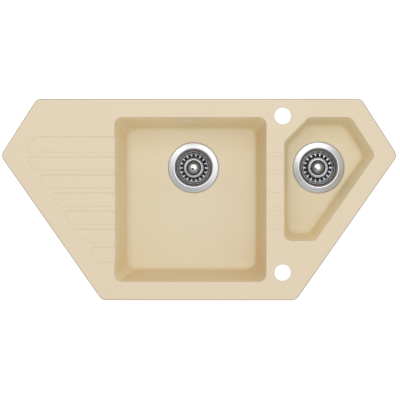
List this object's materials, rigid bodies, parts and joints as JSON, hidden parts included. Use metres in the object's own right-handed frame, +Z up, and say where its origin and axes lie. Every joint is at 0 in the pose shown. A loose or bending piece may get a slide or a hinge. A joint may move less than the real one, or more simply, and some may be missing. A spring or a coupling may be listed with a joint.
{
  "type": "inset kitchen sink",
  "caption": "Corner inset sink in stone composite with a drainer, a main bowl and a half bowl, lift-out basket strainers, overflow, waste pipework, bottle trap and fixing clips.",
  "frame": {"origin": "centre of the deck's underside, where the rim rests on the worktop", "axes": "+X along the sink's width to the half bowl, +Y to the rear edge by the wall, +Z up out of the bowls"},
  "size_m": [0.85, 0.435, 0.4844],
  "materials": {
    "composite": "fine-grained matt",
    "steel": "brushed",
    "polished_steel": "polished",
    "plated_steel": "zinc plated",
    "brass": "turned",
    "white_plastic": "satin",
    "grey_plastic": "satin",
    "rubber": "matt",
    "foam_strip": "foamed"
  },
  "bodies": {
    "sink": {"sink_body": "composite", "rim_seal": "foam_strip", "main_strainer_cup": "steel", "main_flange_gasket": "rubber", "main_centre_screw": "polished_steel", "main_waste_body": "white_plastic", "main_lower_gasket": "rubber", "half_strainer_cup": "steel", "half_flange_gasket": "rubber", "half_centre_screw": "polished_steel", "half_waste_body": "white_plastic", "half_lower_gasket": "rubber", "overflow_gasket": "rubber", "overflow_head": "grey_plastic", "overflow_screws": "plated_steel", "overflow_hose": "grey_plastic", "hose_clips": "plated_steel", "main_tail_washer": "rubber", "main_tail_nut": "white_plastic", "half_tail_washer": "rubber", "half_tail_nut": "white_plastic", "link_pipe": "white_plastic", "link_washer": "rubber", "link_nut": "white_plastic", "tee": "white_plastic", "appliance_seal": "rubber", "appliance_cap": "white_plastic", "trap_washer": "rubber", "trap_nut": "white_plastic", "trap_body": "white_plastic", "outlet_washer": "rubber", "outlet_nut": "white_plastic", "outlet_pipe": "white_plastic", "clip_inserts": "brass", "clip_screws": "plated_steel"},
    "main_basket": {"main_basket": "steel", "main_basket_seal": "rubber", "main_basket_stem": "polished_steel", "main_basket_knob": "polished_steel"},
    "half_basket": {"half_basket": "steel", "half_basket_seal": "rubber", "half_basket_stem": "polished_steel", "half_basket_knob": "polished_steel"},
    "trap_cup": {"trap_cup": "white_plastic", "trap_cup_seal": "rubber"},
    "clip_rear_left": {"clip_rear_left": "plated_steel"},
    "clip_rear_right": {"clip_rear_right": "plated_steel"},
    "clip_front_left": {"clip_front_left": "plated_steel"},
    "clip_front_right": {"clip_front_right": "plated_steel"},
    "clip_side_rear_left": {"clip_side_rear_left": "plated_steel"},
    "clip_side_rear_right": {"clip_side_rear_right": "plated_steel"},
    "clip_side_front_left": {"clip_side_front_left": "plated_steel"},
    "clip_side_front_right": {"clip_side_front_right": "plated_steel"}
  },
  "joints": [
    {"name": "main_basket_lift", "type": "slide", "parent": "sink", "child": "main_basket", "axis": [0, 0, 1], "range_m": [0, 0.26]},
    {"name": "half_basket_lift", "type": "slide", "parent": "sink", "child": "half_basket", "axis": [0, 0, 1], "range_m": [0, 0.2]},
    {"name": "trap_cup_release", "type": "slide", "parent": "sink", "child": "trap_cup", "axis": [0, 0, -1], "range_m": [0, 0.06]},
    {"name": "clip_rear_left_turn", "type": "hinge", "parent": "sink", "child": "clip_rear_left", "pos_m": [-0.22962, 0.1955, -0.04], "axis": [0, 0, -1], "range_deg": [0, 90]},
    {"name": "clip_rear_right_turn", "type": "hinge", "parent": "sink", "child": "clip_rear_right", "pos_m": [0.22962, 0.1955, -0.04], "axis": [0, 0, 1], "range_deg": [0, 90]},
    {"name": "clip_front_left_turn", "type": "hinge", "parent": "sink", "child": "clip_front_left", "pos_m": [-0.12591, -0.1955, -0.04], "axis": [0, 0, -1], "range_deg": [0, 90]},
    {"name": "clip_front_right_turn", "type": "hinge", "parent": "sink", "child": "clip_front_right", "pos_m": [0.12591, -0.1955, -0.04], "axis": [0, 0, 1], "range_deg": [0, 90]},
    {"name": "clip_side_rear_left_turn", "type": "hinge", "parent": "sink", "child": "clip_side_rear_left", "pos_m": [-0.37084, 0.14436, -0.04], "axis": [0, 0, -1], "range_deg": [0, 90]},
    {"name": "clip_side_rear_right_turn", "type": "hinge", "parent": "sink", "child": "clip_side_rear_right", "pos_m": [0.37084, 0.14436, -0.04], "axis": [0, 0, 1], "range_deg": [0, 90]},
    {"name": "clip_side_front_left_turn", "type": "hinge", "parent": "sink", "child": "clip_side_front_left", "pos_m": [-0.30124, -0.04863, -0.04], "axis": [0, 0, -1], "range_deg": [0, 90]},
    {"name": "clip_side_front_right_turn", "type": "hinge", "parent": "sink", "child": "clip_side_front_right", "pos_m": [0.30124, -0.04863, -0.04], "axis": [0, 0, 1], "range_deg": [0, 90]}
  ]
}
